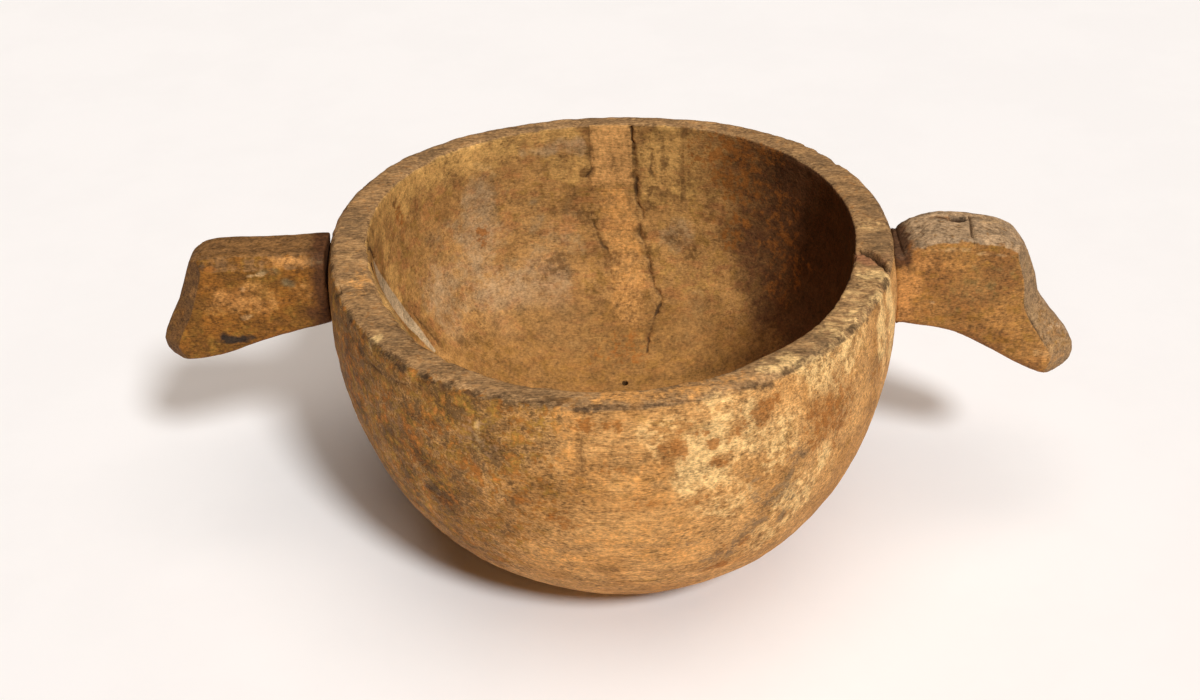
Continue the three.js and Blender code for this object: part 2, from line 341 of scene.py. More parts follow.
# Each crack: its pixels in the picture, half its width and its depth in mm, and how ragged it is
BACK_CRACK = ((631, 127), (633, 149), (634.5, 171), (636, 196), (643, 217), (639, 230), (645, 244),
              (650, 270), (654, 285), (662, 296), (655, 315), (648, 338), (647, 352))
BOWL_CRACKS = (
    (BACK_CRACK, 0.55, 0.9, 1.0),
    (((589, 131), (591, 150), (591, 170), (587, 178)), 0.5, 0.4, 0.9),
    (((592, 214), (599, 238), (609, 256), (613, 276)), 0.6, 0.4, 1.1),
    (((661, 147), (664, 168), (661, 192)), 0.6, 0.15, 1.3),
    (((649, 148), (652, 170), (650, 196)), 0.6, 0.15, 1.3),
    (((362, 236), (369, 247), (376, 259)), 0.7, 1.6, 0.2),
    (((859, 248), (866, 250.5), (874, 254.5), (881, 260), (887.5, 269)), 0.85, 2.6, 0.3),
    (((581, 436), (581, 474)), 0.35, 0.3, 0.4),
    (((414, 314), (426, 327), (439, 343)), 0.45, 0.6, 0.3),
    (((397, 325), (411, 338), (427, 349)), 0.3, 0.35, 0.2),
)
# Painted shadow lines just under the rim, cut as shallow dark grooves, in the same form
RIM_SHADOW_LINES = (
    (((548, 397), (570, 402), (600, 407), (640, 408)), 0.5, 0.3, 0.8),
    (((344, 318), (350, 336), (366, 362), (392, 381), (430, 390)), 0.6, 0.25, 0.8),
)
WORMHOLE_PIXEL, WORMHOLE_RADIUS, WORMHOLE_DEPTH = (625, 383), 0.8, 3.0
BREAK_PIXEL, BREAK_DEPTH = (866, 257), 0.7
BREAK_HALF_WIDTH, BREAK_HALF_HEIGHT = 5.0, 3.6
DETAIL_AT_HOLE, DETAIL_AT_BREAK, DETAIL_AT_CRACK = 2.5, 8, 1.8  # how far the finer mesh reaches
GROOVE_REACH = 4.5

# Patches: pixel, half width, half height in mm, turn in degrees, strength
OUTSIDE_BROWN = (
    ((352, 335), 7, 22, 0, 0.8), ((376, 400), 10, 18, 15, 0.7), ((415, 405), 14, 11, 10, 0.9),
    ((470, 425), 17, 11, 0, 0.8), ((430, 465), 14, 13, 10, 0.9), ((520, 425), 13, 9, 0, 0.6),
    ((405, 485), 9, 14, 20, 0.7), ((500, 480), 12, 9, 10, 0.6), ((545, 475), 9, 8, 0, 0.4),
    ((470, 520), 10, 6, 20, 0.5), ((880, 350), 6, 14, 0, 0.25), ((395, 440), 8, 14, 15, 0.9),
    ((455, 400), 12, 5, 5, 0.9),
)
OUTSIDE_RED = (
    ((408, 433), 4.5, 4, 0, 0.7), ((430, 489), 2.2, 1.8, 0, 1.0), ((449, 503), 5, 2.2, 10, 0.8),
    ((519, 499), 4.5, 1.9, 0, 0.9), ((478, 468), 5.5, 3, 0, 0.6), ((347, 350), 2.5, 18, -6, 0.8),
    ((358, 372), 2.2, 14, -8, 0.6), ((597, 426), 7, 1.7, 0, 0.7), ((675, 453), 3.6, 4, 20, 0.8),
    ((726, 457), 5.5, 2, 28, 0.9), ((697, 430), 4.5, 2.2, 15, 0.7), ((759, 415), 7, 3.4, 32, 1.0),
    ((742, 428), 3.4, 1.6, 30, 0.9), ((712, 446), 3, 1.6, 25, 0.9),
    ((830, 412), 5, 10, 35, 0.8), ((845, 385), 3, 7, 35, 0.5), ((715, 566), 4, 2, 10, 0.8),
    ((640, 505), 6, 2, 0, 0.35), ((560, 520), 5, 3, 0, 0.4), ((815, 440), 4, 6, 35, 0.5),
    ((612, 470), 7, 2, 0, 0.4), ((735, 545), 4, 2.6, 30, 0.5), ((415, 455), 3.4, 5, 10, 0.8),
    ((440, 430), 5, 3, 0, 0.6), ((385, 410), 3, 6, 10, 0.6), ((700, 500), 3, 1.6, 10, 0.5),
)
OUTSIDE_GREY = (
    ((784, 482), 4, 3, 60, 0.8), ((771, 500), 3.4, 2.4, 20, 0.9), ((781, 515), 3.4, 1.8, 65, 0.8),
    ((800, 455), 4, 3.4, 40, 0.7), ((758, 520), 3, 2.2, 10, 0.8), ((742, 537), 4, 2.0, 45, 0.7),
    ((730, 552), 2.4, 2, 0, 0.7), ((790, 500), 2, 3, 0, 0.6), ((716, 556), 4, 3, 30, 0.5),
    ((586, 399), 2, 2.4, 0, 1.0), ((592, 408), 2.6, 0.9, 0, 0.9), ((760, 490), 3, 6, 20, 0.4),
    ((690, 545), 5, 3, 0, 0.35), ((480, 440), 5, 6, 0, 0.5), ((431, 489), 2.6, 2, 0, 0.9),
    ((395, 420), 3, 6, 0, 0.4),
)
OUTSIDE_CREAM = (
    ((716, 432), 9, 8, 20, 1.0), ((700, 468), 7, 8, 10, 0.9), ((740, 446), 7, 7, 25, 0.8),
    ((824, 452), 3, 7, 20, 0.8), ((798, 362), 9, 4, 20, 0.7), ((845, 350), 5, 10, 20, 0.6),
    ((668, 440), 8, 6, 0, 0.4), ((775, 440), 6, 7, 30, 0.6), ((730, 500), 8, 6, 20, 0.45),
    ((479, 445), 1.5, 8, 5, 0.4), ((860, 320), 5, 12, 0, 0.5), ((374, 339), 2.2, 1.6, 0, 1.0),
    ((891, 300), 4, 16, 0, 1.0), ((884, 330), 4, 14, 0, 0.8), ((792, 500), 9, 11, 35, 0.6),
    ((765, 535), 8, 7, 30, 0.45), ((830, 380), 7, 9, 30, 0.6),
)
OUTSIDE_ORANGE = (
    ((572, 420), 4.5, 4.5, 0, 0.7), ((572, 450), 4.5, 8, 0, 0.6), ((640, 480), 16, 10, 0, 0.5),
    ((650, 545), 16, 8, 0, 0.5), ((560, 560), 12, 6, 0, 0.4), ((780, 540), 8, 10, 40, 0.3),
)
# Dark red stain on the hollow's right wall, with painted shade in it
INSIDE_STAIN_AND_SHADE = (
    ((806, 235), 22, 26, 0, 1.0), ((770, 172), 15, 13, 0, 1.0), ((832, 300), 10, 22, 0, 0.9),
    ((745, 170), 12, 14, 0, 0.65), ((790, 320), 12, 16, 0, 0.8), ((728, 215), 9, 12, 0, 0.45),
    ((715, 140), 12, 6, 0, 0.6), ((742, 300), 8, 12, 0, 0.3), ((835, 215), 8, 20, 0, 1.0),
)
INSIDE_RED = (
    ((735, 180), 6, 9, 0, 0.8), ((732, 225), 5, 7, 0, 0.6), ((778, 225), 8, 14, 0, 0.3),
    ((790, 270), 8, 10, 0, 0.3), ((715, 150), 9, 9, 0, 0.7), ((483, 239), 2.5, 3, 0, 0.6),
    ((400, 215), 2, 5, 0, 0.7), ((620, 352), 9, 5, 0, 0.5), ((755, 150), 8, 5, 0, 0.6),
    ((700, 155), 4, 6, 0, 0.5),
)
INSIDE_OCHRE = (
    ((455, 160), 13, 4.5, -25, 0.9), ((400, 195), 6, 8, -20, 0.9), ((530, 135), 15, 3.6, -6, 0.7),
    ((385, 245), 3.4, 12, 0, 0.9), ((393, 278), 3, 10, 0, 0.8), ((575, 165), 9, 6, 0, 0.7),
    ((610, 345), 18, 7, 0, 0.5), ((670, 220), 5, 16, 0, 0.4), ((700, 280), 10, 12, 0, 0.3),
    ((665, 160), 9, 12, 0, 0.9), ((700, 165), 7, 12, 0, 0.6),
)
INSIDE_GREY = (
    ((470, 235), 15, 14, 0, 0.7), ((520, 285), 18, 14, 0, 0.7), ((440, 290), 12, 14, 0, 0.6),
    ((560, 325), 16, 9, 0, 0.4), ((690, 330), 10, 10, 0, 0.4), ((560, 230), 10, 10, 0, 0.4),
    ((560, 148), 10, 3.2, 0, 0.6), ((677, 235), 6, 5, 0, 0.5),
)
INSIDE_MOTTLE = (
    ((561, 267), 4.4, 4, 0, 0.8), ((612, 262), 2.5, 4, 0, 0.8), ((586, 216), 4, 2.6, 0, 0.7),
    ((586, 174), 1.6, 1.8, 0, 1.0), ((656, 192), 3.4, 2.4, 0, 0.8), ((648, 205), 2.4, 2, 0, 0.7),
    ((676, 240), 4, 3, 0, 0.6), ((395, 205), 1.6, 2.6, 0, 0.8), ((560, 210), 6, 2.4, 0, 0.4),
    ((640, 300), 4, 4, 0, 0.3), ((470, 340), 9, 3, 0, 0.4), ((540, 262), 3.4, 3, 0, 0.5),
    ((597, 300), 3, 3.4, 0, 0.5), ((500, 320), 5, 3, 0, 0.35), ((689, 250), 3, 4, 0, 0.5),
    ((708, 205), 3, 6, 0, 0.5), ((430, 235), 3, 4, 0, 0.35),
)
RIM_GREY = (
    ((877, 209), 4, 4, 0, 0.9), ((881, 240), 4, 6, 0, 0.9), ((350, 226), 6, 7, 0, 0.7),
    ((430, 152), 7, 7, 0, 0.6), ((520, 395), 14, 3, 0, 0.3), ((830, 352), 8, 6, 0, 0.6),
    ((600, 121), 40, 3, 0, 0.5), ((820, 165), 10, 8, 0, 0.4), ((395, 340), 3, 5, 0, 0.5),
)
RIM_ORANGE = (((650, 394), 20, 3, 0, 0.7), ((700, 385), 12, 3, 15, 0.5), ((360, 285), 3, 8, 0, 0.4))
RIM_PALE = (
    ((352, 262), 5, 14, 0, 0.3), ((362, 295), 5, 12, 0, 0.2), ((870, 226), 5, 5, 0, 0.7),
    ((845, 335), 9, 9, 0, 0.8), ((866, 300), 8, 10, 0, 0.8),
    ((388, 330), 4, 6, 0, 0.4), ((870, 290), 6, 10, 0, 0.5), ((660, 400), 14, 3, 0, 0.4),
)

STRIP_TOP = ((611, 128), (612, 196))
STRIP_RUN = ((618, 205), (624, 250), (630, 312))
FACET_MIDDLE = ((374, 263), (385.5, 288), (400, 310), (418, 331), (434, 350))
FACET_HALF = 2.1  # mm, at the widest

# Where a mask starts and where it is full, in mm
# The outside's brown darkens towards the left: stain, with painted shade
BROWN_FROM, BROWN_FULL = -8, -58  # along X, outside
# The hollow's right wall darkens from here: dark red stain and painted shade
HOLLOW_STAIN_AND_SHADE_FROM, HOLLOW_STAIN_AND_SHADE_FULL = 24, 58  # along X, in the hollow
BACK_FROM, BACK_FULL = 10, 50  # along Y
ROUGH_FROM, ROUGH_FULL = 10, 50  # along -X
OCHRE_FROM, OCHRE_FULL = 16, 3  # below the rim
DEEP_FROM, DEEP_FULL = 40, 66  # below the rim
# Around the left handle's joint on the wall: stain and painted shade
JOINT_SHADE_AND_STAIN_HEIGHT, JOINT_SHADE_AND_STAIN_HALF_WIDTH, JOINT_SHADE_AND_STAIN_HALF_HEIGHT = 72, 11, 20

CREST_BINS = 180  # directions in which the rim's height is looked up
BOTTOM_RADIUS = 20  # mm: nearer the axis than this, what faces up is the hollow


def patches(sheet, tree, marks, seed):
    """One mask from a list of patches."""
    total = np.zeros(len(sheet.place))
    for number, (pixel, half_width, half_height, turn, strength) in enumerate(marks):
        centre, out = seen_at(tree, pixel)
        patch = blot(sheet, centre, out, half_width, half_height, turn, seed=seed + number)
        total = np.maximum(total, strength * patch)
    return total


def bowl_zones(sheet):
    """Masks of the bowl's rim, edges, hollow and outside, the depth below the rim in mm, and how far the
    surface faces away from the axis, from -1 to 1."""
    middle = RIM_CENTRE_LEAN * sheet.place[:, 2:3] / RIM_HEIGHT
    off = sheet.place[:, :2] - middle
    radius = np.linalg.norm(off, axis=1)
    away = off / np.maximum(radius, 1e-6)[:, None]
    outward = (sheet.out[:, :2] * away).sum(1)
    turn = np.arctan2(off[:, 1], off[:, 0])
    slot = ((turn + math.pi) / (2 * math.pi) * CREST_BINS).astype(int) % CREST_BINS
    crest = np.zeros(CREST_BINS)
    np.maximum.at(crest, slot, sheet.place[:, 2])
    middles = (np.arange(CREST_BINS) + 0.5) / CREST_BINS * 2 * math.pi - math.pi
    below = np.interp(turn, middles, crest, period=2 * math.pi) - sheet.place[:, 2]
    rim = smooth(0.55, 0.85, sheet.out[:, 2]) * smooth(6, 4, below)
    edge = smooth(0.25, 0.5, sheet.out[:, 2]) * smooth(0.2, 0.5, np.abs(outward)) * smooth(5, 3, below)
    hollow = np.where(radius < BOTTOM_RADIUS, sheet.out[:, 2] > 0, outward < 0)
    inside = hollow.astype(float) * (1 - rim)
    outside = (1 - inside) * (1 - rim)
    return SimpleNamespace(
        rim=rim, edge=edge, inside=inside, outside=outside, below=below, outward=outward
    )


def away_from_joints(place):
    """1 over most of the bowl, and 0 at the mortises, whose walls stay as they are."""
    share = np.ones(len(place))
    for side, middle in HANDLE_SIDES:
        near = (
            smooth(JOINT_HALF_WIDTH + JOINT_FADE, JOINT_HALF_WIDTH, np.abs(place[:, 1] - middle))
            * smooth(JOINT_LOW - JOINT_FADE_BELOW, JOINT_LOW, place[:, 2])
            * smooth(JOINT_HIGH + JOINT_FADE, JOINT_HIGH, place[:, 2])
            * (place[:, 0] * side > JOINT_FROM_AXIS)
        )
        share *= 1 - near
    return share


def groove(sheet, line, half, depth, ragged, seed):
    """A wandering crack along a line: how deep it is, how dark, and the stain beside it."""
    near = np.flatnonzero(along_line(sheet.place, line)[0] < GROOVE_REACH)
    place = sheet.place[near]
    sway = np.stack(
        [noise(place / 2.6, seed + n) + 0.5 * noise(place / 1.1, seed + 5 + n) for n in range(3)], 1
    )
    gap, at = along_line(place + 0.55 * ragged * sway, line)
    taper = 0.35 + 0.65 * np.sin(math.pi * np.clip(at, 0.04, 0.96)) ** 0.5
    wide = half * taper * (1 + 0.75 * ragged * noise(place / 3.1, seed + 9))
    cut, dark, stain = (np.zeros(len(sheet.place)) for _ in range(3))
    fade = np.clip(0.72 + 0.75 * ragged * noise(place / 4.0, seed + 11), 1.0 if depth > 1 else 0.1, 1)
    cut[near] = depth * np.exp(-((gap / wide) ** 2)) * fade
    dark[near] = np.exp(-((gap / (wide * 1.1)) ** 2)) * min(1.0, 0.5 + 0.4 * depth) * fade
    stain[near] = np.exp(-((gap / (wide + 1.0)) ** 2)) * 0.6
    return cut, dark, stain


def bowl_relief(sheet, zones):
    """How far the old surface stands off the plain form, in mm: tool marks, fibres and worn edges."""
    place = sheet.place
    rough_side = smooth(ROUGH_FROM, ROUGH_FULL, -place[:, 0]) * zones.outside
    fibres = noise(place / np.array([12.0, 1.4, 1.4]), 8)
    relief = 0.28 * noise(place / 19, 5) + 0.13 * noise(place / 8, 6)
    relief += 0.05 * layered(place / 2.6, 7, 2) * (1 + rough_side)
    relief += (0.04 + 0.06 * rough_side) * fibres
    top = np.flatnonzero(zones.rim + zones.edge > 0.01)
    crown = place[top]
    rough = 0.16 * noise(crown / np.array([7.0, 1.1, 1.1]), 9)
    rough += 0.16 * noise(crown / np.array([20.0, 3.4, 3.4]), 10)
    relief[top] += zones.rim[top] * (rough + 0.12 * layered(crown / 2.4, 11, 2))
    chips = smooth(0.0, 0.65, layered(crown / np.array([5.0, 2.2, 2.2]), 12, 2))
    chips *= smooth(-0.4, 0.3, noise(crown / 17, 14))
    nicks = smooth(0.1, 0.7, layered(crown / 3.4, 13, 2))
    relief[top] -= zones.edge[top] * np.where(zones.outward[top] > 0, 0.10 + 0.70 * chips, 0.40 * nicks)
    return relief


def fine_bowl(lines, hole, torn):
    """The bowl's fine mesh, finer still at its cracks, its beetle hole and its torn place."""
    sheet = fine_sheet("bowl", BOWL_VOXEL, SMOOTH_TURNS)

    def wants_detail(middles):
        near = np.linalg.norm(middles - hole, axis=1) < DETAIL_AT_HOLE
        near |= np.linalg.norm(middles - torn, axis=1) < DETAIL_AT_BREAK
        for line, half, _, _ in lines:
            near |= along_line(middles, line)[0] < DETAIL_AT_CRACK + half
        return near

    refine(sheet.piece, wants_detail)
    sheet.read()
    return sheet


def cut_bowl(sheet, relief, lines, hole, torn):
    """Cuts the cracks, the beetle hole and the torn place into the relief, and returns the masks of what is
    dark in them, of the stain beside the cracks and of the torn place."""
    place = sheet.place
    crack, stain = np.zeros(len(place)), np.zeros(len(place))
    for number, (line, half, depth, ragged) in enumerate(lines):
        cut, dark, beside = groove(sheet, line, half, depth, ragged, 30 + 20 * number)
        relief -= cut
        crack = np.maximum(crack, dark)
        stain = np.maximum(stain, beside)
    hole_gap = np.linalg.norm(place - hole, axis=1)
    relief -= WORMHOLE_DEPTH * smooth(WORMHOLE_RADIUS * 1.15, WORMHOLE_RADIUS * 0.7, hole_gap)
    # Painted shade in the beetle hole
    crack = np.maximum(crack, smooth(WORMHOLE_RADIUS * 1.3, WORMHOLE_RADIUS * 0.9, hole_gap))
    up = np.array([0, 0, 1.0])
    torn_mask = blot(sheet, torn, up, BREAK_HALF_WIDTH, BREAK_HALF_HEIGHT, 0, 0.25, 90)
    ripped = noise(place / np.array([6.0, 0.9, 0.9]), 91)
    relief -= smooth(0.2, 0.6, torn_mask) * (BREAK_DEPTH + 0.5 * ripped)
    return crack, stain, torn_mask


def outside_masks(sheet, tree, zones, drift):
    """The outside's stains, with painted shade in the brown towards the left side and around the left
    handle's joint: at the front where the picture has them, and at the back by noise.
    """
    place, outside = sheet.place, zones.outside
    masks = {
        "brown": patches(sheet, tree, OUTSIDE_BROWN, 100) * outside,
        "red": patches(sheet, tree, OUTSIDE_RED, 140) * outside,
        "grey": patches(sheet, tree, OUTSIDE_GREY, 180) * outside,
        "cream": patches(sheet, tree, OUTSIDE_CREAM, 220) * (1 - zones.inside),
        "orange": patches(sheet, tree, OUTSIDE_ORANGE, 260) * outside,
    }
    # Darker towards the left: brown stain, with painted shade on the side away from the key
    lift(masks, "brown", 0.75 * smooth(BROWN_FROM, BROWN_FULL, place[:, 0] + 8 * drift) * outside)
    back = smooth(BACK_FROM, BACK_FULL, place[:, 1]) * outside
    clouds = layered(place / np.array([22.0, 14.0, 14.0]), 301)
    lift(masks, "brown", back * smooth(-0.35, 0.5, clouds) * 0.9)
    lift(masks, "cream", back * smooth(0.0, -0.6, clouds) * 0.5)
    lift(masks, "red", back * smooth(0.1, 0.7, layered(place / 8, 302, 2)) * 0.7)
    # Stain and painted shade on the wall around the left handle's joint
    gap = np.sqrt(
        ((place[:, 1] - HANDLE_SIDES[0][1]) / JOINT_SHADE_AND_STAIN_HALF_WIDTH) ** 2
        + ((place[:, 2] - JOINT_SHADE_AND_STAIN_HEIGHT) / JOINT_SHADE_AND_STAIN_HALF_HEIGHT) ** 2
    )
    masks["joint"] = smooth(1.4, 0.7, gap) * (place[:, 0] < -JOINT_FROM_AXIS) * outside
    return masks


def add_hollow(masks, sheet, tree, zones, drift):
    """The hollow's stains, with painted shade in the dark red of its right wall and painted light in the
    ochre under its left rim, and the fine streaks at its back.
    """
    place, inside, below = sheet.place, zones.inside, zones.below
    x, y = place[:, 0], place[:, 1]
    slanted = x + 7 * drift + 0.10 * (y - 20) - 0.12 * (below - 20)
    # Darker towards the hollow's right wall: dark red stain and painted shade
    masks["dark"] = smooth(HOLLOW_STAIN_AND_SHADE_FROM, HOLLOW_STAIN_AND_SHADE_FULL, slanted) * inside
    lift(masks, "dark", 0.8 * patches(sheet, tree, INSIDE_STAIN_AND_SHADE, 330) * inside)
    lift(masks, "red", patches(sheet, tree, INSIDE_RED, 360) * inside)
    masks["ochre"] = patches(sheet, tree, INSIDE_OCHRE, 390) * inside
    # The band under the rim on the left: ochre stain, brightened as painted light on the left inner wall
    lift(masks, "ochre", 0.7 * smooth(OCHRE_FROM, OCHRE_FULL, below) * inside * smooth(5, -35, x))
    masks["pale_grey"] = patches(sheet, tree, INSIDE_GREY, 420) * inside
    masks["mottle"] = patches(sheet, tree, INSIDE_MOTTLE, 450) * inside
    streaks = noise(place / np.array([1.5, 6.0, 13.0]), 303)
    streaked = smooth(6, 10, x) * smooth(36, 26, x) * smooth(0, 30, y) * inside
    lift(masks, "mottle", streaked * smooth(0.05, 0.75, streaks) * smooth(50, 4, below) * 0.7)
    masks["deep"] = smooth(DEEP_FROM, DEEP_FULL, below) * inside


def add_strip(masks, sheet, tree, zones, drift):
    """The pale strip at the hollow's back, and the run below it, which is part pale and part orange."""
    wander = 0.8 * drift
    gap, at = along_line(sheet.place, seen_line(tree, STRIP_TOP))
    masks["strip"] = smooth(7.1, 6.3, gap + 0.4 * wander) * smooth(1.0, 0.6, at) * zones.inside
    run_gap, _ = along_line(sheet.place, seen_line(tree, STRIP_RUN))
    run = smooth(8.5, 2.5, run_gap + wander) * zones.inside
    lift(masks, "strip", 0.35 * run)
    lift(masks, "orange", 0.6 * run)


def add_facet(masks, sheet, tree, zones):
    """The pale knife cut in the hollow by the left handle: fresh wood, with painted light on its face,
    which turns to the lamp.
    """
    gap, at = along_line(sheet.place, seen_line(tree, FACET_MIDDLE))
    half = FACET_HALF * np.sin(math.pi * np.clip(0.12 + 0.80 * at, 0, 1))
    masks["facet"] = smooth(half + 0.5, half - 0.1, gap) * zones.inside


def add_rim(masks, sheet, tree, zones):
    """The rim's stains, the dirt in its outer edge, and dirt with a painted shadow on the lip below it."""
    place, rim, edge = sheet.place, zones.rim, zones.edge
    masks["rim"] = np.maximum(rim, edge)
    lift(masks, "grey", patches(sheet, tree, RIM_GREY, 480) * rim)
    lift(masks, "cream", 0.45 * patches(sheet, tree, RIM_PALE, 510) * rim)
    lift(masks, "orange", patches(sheet, tree, RIM_ORANGE, 520) * masks["rim"])
    worn = edge * (zones.outward > 0)
    masks["rim_grime_and_shade"] = 0.8 * worn * smooth(-0.2, 0.5, layered(place / np.array([9.0, 2.0, 2.0]), 320))
    # A band just under the rim outside: dirt and a painted shadow under the rim
    lip = zones.outside * smooth(5.0, 1.5, zones.below)
    lip *= smooth(0.0, 0.6, layered(place / np.array([8.0, 3.0, 3.0]), 321, 2))
    lift(masks, "rim_grime_and_shade", 0.8 * lip)


def make_bowl():
    tree = surface("bowl")
    lines = [
        (seen_line(tree, pixels), half, depth, ragged)
        for pixels, half, depth, ragged in BOWL_CRACKS + RIM_SHADOW_LINES
    ]
    hole, _ = seen_at(tree, WORMHOLE_PIXEL)
    torn, _ = seen_at(tree, BREAK_PIXEL)
    sheet = fine_bowl(lines, hole, torn)
    zones = bowl_zones(sheet)
    relief = bowl_relief(sheet, zones)
    crack, stain, torn_mask = cut_bowl(sheet, relief, lines, hole, torn)

    drift = noise(sheet.place / 11, 300)
    masks = outside_masks(sheet, tree, zones, drift)
    add_hollow(masks, sheet, tree, zones, drift)
    add_strip(masks, sheet, tree, zones, drift)
    add_facet(masks, sheet, tree, zones)
    add_rim(masks, sheet, tree, zones)
    lift(masks, "mottle", stain)
    masks.update(inside=zones.inside, crack=crack, torn=torn_mask)

    share = away_from_joints(sheet.place) * smooth(0.2, 2.5, sheet.place[:, 2] + 10 * zones.inside)
    moved = sheet.place + sheet.out * (relief * share)[:, None]
    moved[:, 2] = np.maximum(moved[:, 2], 0)
    sheet.move(moved, masks)
    return sheet.piece


# Materials

DARKEST = 0.38  # the least share of a colour that its noises leave
WOOD_SPECULAR = 0.18


class Paint:
    """Builds one material's nodes. Coordinates are the object's own, in mm, with the grain along X."""

    def __init__(self, name):
        self.material = bpy.data.materials.new(name)
        self.material.use_nodes = True
        self.tree = self.material.node_tree
        self.shader = next(n for n in self.tree.nodes if n.type == "BSDF_PRINCIPLED")
        coordinates = self.tree.nodes.new("ShaderNodeTexCoord")
        self.own = self.scaled(coordinates.outputs["Object"], (1000, 1000, 1000))

    def scaled(self, vector, factors, offset=(0, 0, 0)):
        node = self.tree.nodes.new("ShaderNodeMapping")
        node.inputs["Scale"].default_value = factors
        node.inputs["Location"].default_value = offset
        self.tree.links.new(vector, node.inputs["Vector"])
        return node.outputs["Vector"]

    def noise(self, size, detail=2.0, roughness=0.5, shift=0.0, distortion=0.0):
        """Noise from 0 to 1. size is one bump's length in mm along X, Y and Z."""
        if not isinstance(size, tuple):
            size = (size, size, size)
        node = self.tree.nodes.new("ShaderNodeTexNoise")
        node.inputs["Scale"].default_value = 1.0
        node.inputs["Detail"].default_value = detail
        node.inputs["Roughness"].default_value = roughness
        node.inputs["Distortion"].default_value = distortion
        factors = tuple(1 / s for s in size)
        self.tree.links.new(self.scaled(self.own, factors, (shift, shift, shift)), node.inputs["Vector"])
        return node.outputs[0]

    def mask(self, name):
        node = self.tree.nodes.new("ShaderNodeAttribute")
        node.attribute_name = name
        return node.outputs["Fac"]

    def plug(self, value, socket):
        """Puts a number, a colour or another node's output into a socket."""
        if isinstance(value, (int, float)):
            socket.default_value = value
        elif isinstance(value, tuple):
            socket.default_value = (*value, 1.0)
        else:
            self.tree.links.new(value, socket)

    def maths(self, operation, a, b=0.0):
        node = self.tree.nodes.new("ShaderNodeMath")
        node.operation = operation
        self.plug(a, node.inputs[0])
        self.plug(b, node.inputs[1])
        return node.outputs[0]

    def ramp(self, value, low, high, to_low=0.0, to_high=1.0):
        """A value that goes smoothly from to_low to to_high as another goes from low to high."""
        node = self.tree.nodes.new("ShaderNodeMapRange")
        node.interpolation_type = "SMOOTHSTEP"
        for socket, number in zip(node.inputs[1:5], (low, high, to_low, to_high)):
            socket.default_value = number
        self.plug(value, node.inputs[0])
        return node.outputs[0]

    def mix(self, a, b, share):
        """Colour a, with a share of colour b from 0 to 1."""
        node = self.tree.nodes.new("ShaderNodeMix")
        node.data_type = "RGBA"
        self.plug(share, node.inputs[0])
        self.plug(a, node.inputs[6])
        self.plug(b, node.inputs[7])
        return node.outputs[2]

    def swing(self, grain, weight):
        """A noise moved to lie about zero, times a weight."""
        return self.maths("MULTIPLY", self.maths("SUBTRACT", grain, 0.5), weight)

    def flecked(self, mask, grain, strength=1.0, push=1.6):
        """A soft mask turned to flecks: the noise decides where it takes first and where it fades."""
        pushed = self.maths("ADD", mask, self.swing(grain, push))
        share = self.maths("MULTIPLY", self.ramp(pushed, 0.12, 0.95), self.ramp(mask, 0.0, 0.25))
        return self.maths("MULTIPLY", share, strength)

    def weathered(self, colour, grains):
        """A colour made lighter and darker by noises. grains pairs each noise with its weight."""
        change = 1.0
        for grain, weight in grains:
            change = self.maths("ADD", self.swing(grain, weight), change)
        node = self.tree.nodes.new("ShaderNodeVectorMath")
        node.operation = "SCALE"
        self.plug(colour, node.inputs[0])
        self.plug(self.maths("MAXIMUM", change, DARKEST), node.inputs["Scale"])
        return node.outputs[0]

    def finish(self, colour, height, bump_mm, roughness, specular=WOOD_SPECULAR):
        self.plug(colour, self.shader.inputs["Base Color"])
        self.plug(roughness, self.shader.inputs["Roughness"])
        self.shader.inputs["Specular IOR Level"].default_value = specular
        bump = self.tree.nodes.new("ShaderNodeBump")
        bump.inputs["Strength"].default_value = 1.0
        bump.inputs["Distance"].default_value = bump_mm * MM
        self.plug(height, bump.inputs["Height"])
        self.tree.links.new(bump.outputs["Normal"], self.shader.inputs["Normal"])
        return self.material


# Colours, linear
TAN = (0.600, 0.305, 0.100)
TAN_DEEP = (0.480, 0.225, 0.064)
LINE = (0.290, 0.120, 0.030)
HOLLOW_TAN = (0.490, 0.245, 0.074)
HOLLOW_BROWN = (0.285, 0.130, 0.036)
RIM_TAN = (0.400, 0.215, 0.085)
RIM_BROWN = (0.235, 0.128, 0.055)
RIM_FIBRE = (0.540, 0.315, 0.135)
BROWN = (0.170, 0.070, 0.012)
OLIVE = (0.240, 0.122, 0.020)
RED_BROWN = (0.290, 0.100, 0.018)
GREY_BROWN = (0.200, 0.115, 0.052)
CREAM = (0.850, 0.550, 0.225)
ORANGE = (0.640, 0.290, 0.078)
# A dark red stain, with painted shade
DARK_RED_STAIN_AND_SHADE = (0.085, 0.030, 0.012)
HOLLOW_RED = (0.420, 0.165, 0.052)
STRIP = (0.780, 0.390, 0.125)
# Fresh wood, with painted light on the facet's face
FACET_WOOD_AND_LIGHT = (0.600, 0.430, 0.245)
# Ochre stain, brightened as painted light on the left inner wall
OCHRE_STAIN_AND_LIGHT = (0.700, 0.380, 0.112)
PALE_GREY = (0.470, 0.295, 0.150)
DEEP = (0.245, 0.112, 0.026)
MOTTLE = (0.150, 0.068, 0.020)
# Dirt, and on the bowl's lip a painted shadow under the rim
GRIME_AND_SHADE = (0.075, 0.038, 0.016)
# Painted shade for cracks, holes and pits, darker than their fine cuts make them
CREVICE_SHADE = (0.062, 0.029, 0.011)
TORN = (0.290, 0.120, 0.052)
HANDLE_ORANGE = (0.560, 0.250, 0.070)
HANDLE_GREY = (0.165, 0.125, 0.062)
HANDLE_DARK = (0.030, 0.020, 0.014)
# Painted shade and dark stain where a handle meets the wall
ROOT_SHADE_AND_STAIN = (0.075, 0.026, 0.009)
WEDGE_PALE = (0.40, 0.22, 0.09)
WEDGE_LINE = (0.19, 0.095, 0.036)

